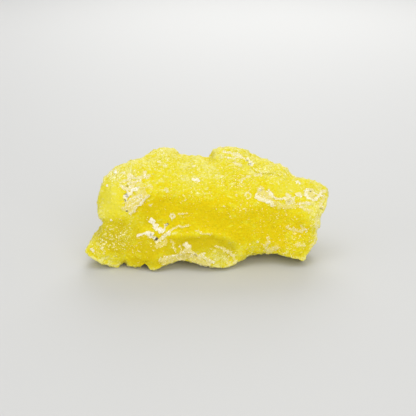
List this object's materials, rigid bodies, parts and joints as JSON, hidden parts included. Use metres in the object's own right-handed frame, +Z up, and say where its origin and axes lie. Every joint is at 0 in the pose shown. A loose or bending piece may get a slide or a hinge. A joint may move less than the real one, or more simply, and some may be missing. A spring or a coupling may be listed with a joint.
{
  "type": "brucite specimen",
  "caption": "Lumpy hand specimen of yellow brucite with an uneven broken outline, leaning back on its broken base.",
  "frame": {"origin": "middle of the footprint of the bounding box, on the ground the specimen rests on", "axes": "+X to the right along the show face, which looks towards -Y and leans back, +Z up"},
  "size_m": [0.0735, 0.0279, 0.0329],
  "materials": {
    "brucite": "satin"
  },
  "bodies": {
    "root": {"brucite": "brucite"}
  },
  "joints": []
}
